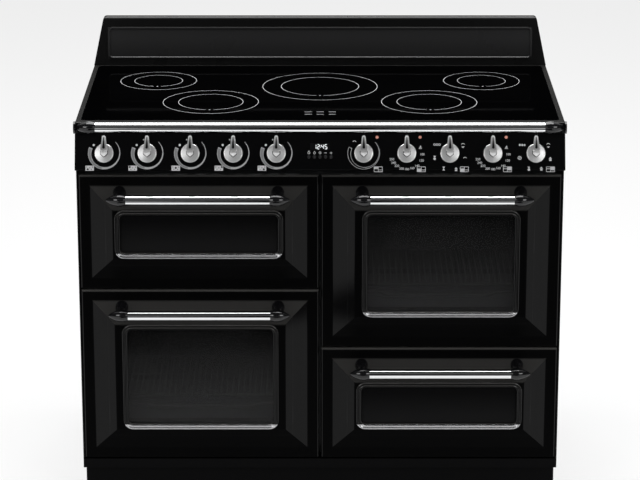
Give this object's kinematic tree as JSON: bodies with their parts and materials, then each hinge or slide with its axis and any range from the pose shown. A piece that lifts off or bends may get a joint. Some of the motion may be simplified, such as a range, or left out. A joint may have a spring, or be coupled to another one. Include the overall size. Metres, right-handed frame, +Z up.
{
  "type": "range cooker",
  "caption": "Free-standing induction range cooker with sloping knob panel, oven doors, grill door and storage drawer.",
  "frame": {"origin": "middle of the overall footprint, on the floor", "axes": "+X to the cooker's right as seen from the front, +Y towards the wall behind it, +Z up; the doors face -Y"},
  "size_m": [1.1, 0.6739, 1.016],
  "materials": {
    "enamel": "high gloss black enamel",
    "matt_black": "satin black powder coat",
    "galvanised": "galvanised sheet",
    "foot_steel": "dark zinc",
    "hob_glass": "black glass ceramic, printed zones",
    "chrome": "polished chrome with black finials",
    "knob_metal": "satin silver",
    "display": "black display window",
    "button": "dark gloss",
    "lens": "red lens",
    "switch": "moulded switch body",
    "cavity_enamel": "speckled grey-black oven enamel",
    "seal": "silicone seal",
    "rack": "bright wire",
    "element": "heat-dulled tube",
    "motor": "plated steel",
    "coil": "copper winding on an aluminium carrier",
    "coil_tray": "mill finish",
    "terminal": "moulded box",
    "fan": "plain",
    "liner": "oven enamel",
    "pane": "tinted window glass",
    "hinge_steel": "zinc plated",
    "drawer_sheet": "grey-black sheet"
  },
  "bodies": {
    "cabinet": {"side_panels": "enamel", "back_panel": "galvanised", "base_pan": "matt_black", "plinth": "matt_black", "feet": "foot_steel", "chassis_frame": "galvanised", "worktop_frame": "enamel", "hob_glass": "hob_glass", "splashback": "enamel", "front_rail": "chrome", "control_panel": "enamel", "timer_display": "display", "indicator_lenses": "lens", "knob_switches": "switch", "main_oven_cavity": "cavity_enamel", "second_oven_cavity": "cavity_enamel", "grill_cavity": "cavity_enamel", "door_seals": "seal", "shelf_supports": "rack", "oven_shelves": "rack", "fan_covers": "cavity_enamel", "heating_elements": "element", "fan_motors": "motor", "induction_coils": "coil", "coil_tray": "coil_tray", "terminal_box": "terminal"},
    "main_oven_fan": {"main_oven_fan": "fan"},
    "second_oven_fan": {"second_oven_fan": "fan"},
    "knob_1": {"knob_1": "knob_metal"},
    "knob_2": {"knob_2": "knob_metal"},
    "knob_3": {"knob_3": "knob_metal"},
    "knob_4": {"knob_4": "knob_metal"},
    "knob_5": {"knob_5": "knob_metal"},
    "knob_6": {"knob_6": "knob_metal"},
    "knob_7": {"knob_7": "knob_metal"},
    "knob_8": {"knob_8": "knob_metal"},
    "knob_9": {"knob_9": "knob_metal"},
    "knob_10": {"knob_10": "knob_metal"},
    "timer_button_1": {"timer_button_1": "button"},
    "timer_button_2": {"timer_button_2": "button"},
    "timer_button_3": {"timer_button_3": "button"},
    "timer_button_4": {"timer_button_4": "button"},
    "timer_button_5": {"timer_button_5": "button"},
    "grill_door": {"grill_door_panel": "enamel", "grill_door_liner": "liner", "grill_door_handle": "chrome", "grill_door_hinges": "hinge_steel"},
    "main_door": {"main_door_panel": "enamel", "main_door_liner": "liner", "main_door_handle": "chrome", "main_door_hinges": "hinge_steel", "main_door_glass": "pane"},
    "second_door": {"second_door_panel": "enamel", "second_door_liner": "liner", "second_door_handle": "chrome", "second_door_hinges": "hinge_steel", "second_door_glass": "pane"},
    "drawer": {"drawer_front": "enamel", "drawer_box": "drawer_sheet", "drawer_handle": "chrome"}
  },
  "joints": [
    {"name": "knob_1_turn", "type": "hinge", "parent": "cabinet", "child": "knob_1", "pos_m": [-0.484, -0.28044, 0.83333], "axis": [0, 0.9349, -0.355], "range_deg": [0, 330]},
    {"name": "knob_2_turn", "type": "hinge", "parent": "cabinet", "child": "knob_2", "pos_m": [-0.3875, -0.28044, 0.83333], "axis": [0, 0.9349, -0.355], "range_deg": [0, 330]},
    {"name": "knob_3_turn", "type": "hinge", "parent": "cabinet", "child": "knob_3", "pos_m": [-0.291, -0.28044, 0.83333], "axis": [0, 0.9349, -0.355], "range_deg": [0, 330]},
    {"name": "knob_4_turn", "type": "hinge", "parent": "cabinet", "child": "knob_4", "pos_m": [-0.1945, -0.28044, 0.83333], "axis": [0, 0.9349, -0.355], "range_deg": [0, 330]},
    {"name": "knob_5_turn", "type": "hinge", "parent": "cabinet", "child": "knob_5", "pos_m": [-0.098, -0.28044, 0.83333], "axis": [0, 0.9349, -0.355], "range_deg": [0, 330]},
    {"name": "knob_6_turn", "type": "hinge", "parent": "cabinet", "child": "knob_6", "pos_m": [0.098, -0.28044, 0.83333], "axis": [0, 0.9349, -0.355], "range_deg": [0, 330]},
    {"name": "knob_7_turn", "type": "hinge", "parent": "cabinet", "child": "knob_7", "pos_m": [0.1945, -0.28044, 0.83333], "axis": [0, 0.9349, -0.355], "range_deg": [0, 255]},
    {"name": "knob_8_turn", "type": "hinge", "parent": "cabinet", "child": "knob_8", "pos_m": [0.291, -0.28044, 0.83333], "axis": [0, 0.9349, -0.355], "continuous": true},
    {"name": "knob_9_turn", "type": "hinge", "parent": "cabinet", "child": "knob_9", "pos_m": [0.3875, -0.28044, 0.83333], "axis": [0, 0.9349, -0.355], "range_deg": [0, 255]},
    {"name": "knob_10_turn", "type": "hinge", "parent": "cabinet", "child": "knob_10", "pos_m": [0.484, -0.28044, 0.83333], "axis": [0, 0.9349, -0.355], "continuous": true},
    {"name": "timer_button_1_press", "type": "slide", "parent": "cabinet", "child": "timer_button_1", "axis": [0, 0.9349, -0.355], "range_m": [0, 0.0015], "stiffness_N_per_m": 300, "springref_m": -0.0005},
    {"name": "timer_button_2_press", "type": "slide", "parent": "cabinet", "child": "timer_button_2", "axis": [0, 0.9349, -0.355], "range_m": [0, 0.0015], "stiffness_N_per_m": 300, "springref_m": -0.0005},
    {"name": "timer_button_3_press", "type": "slide", "parent": "cabinet", "child": "timer_button_3", "axis": [0, 0.9349, -0.355], "range_m": [0, 0.0015], "stiffness_N_per_m": 300, "springref_m": -0.0005},
    {"name": "timer_button_4_press", "type": "slide", "parent": "cabinet", "child": "timer_button_4", "axis": [0, 0.9349, -0.355], "range_m": [0, 0.0015], "stiffness_N_per_m": 300, "springref_m": -0.0005},
    {"name": "timer_button_5_press", "type": "slide", "parent": "cabinet", "child": "timer_button_5", "axis": [0, 0.9349, -0.355], "range_m": [0, 0.0015], "stiffness_N_per_m": 300, "springref_m": -0.0005},
    {"name": "grill_door_swing", "type": "hinge", "parent": "cabinet", "child": "grill_door", "pos_m": [-0.274, -0.253, 0.519], "axis": [1, 0, 0], "range_deg": [0, 90], "stiffness_Nm_per_rad": 2, "springref_deg": -34.38},
    {"name": "main_door_swing", "type": "hinge", "parent": "cabinet", "child": "main_door", "pos_m": [-0.274, -0.253, 0.107], "axis": [1, 0, 0], "range_deg": [0, 90], "stiffness_Nm_per_rad": 4, "springref_deg": -34.38},
    {"name": "second_door_swing", "type": "hinge", "parent": "cabinet", "child": "second_door", "pos_m": [0.274, -0.253, 0.379], "axis": [1, 0, 0], "range_deg": [0, 90], "stiffness_Nm_per_rad": 4, "springref_deg": -34.38},
    {"name": "drawer_slide", "type": "slide", "parent": "cabinet", "child": "drawer", "axis": [0, -1, 0], "range_m": [0, 0.4]},
    {"name": "main_oven_fan_spin", "type": "hinge", "parent": "cabinet", "child": "main_oven_fan", "pos_m": [-0.274, 0.164, 0.305], "axis": [0, -1, 0], "continuous": true},
    {"name": "second_oven_fan_spin", "type": "hinge", "parent": "cabinet", "child": "second_oven_fan", "pos_m": [0.274, 0.164, 0.577], "axis": [0, -1, 0], "continuous": true}
  ]
}
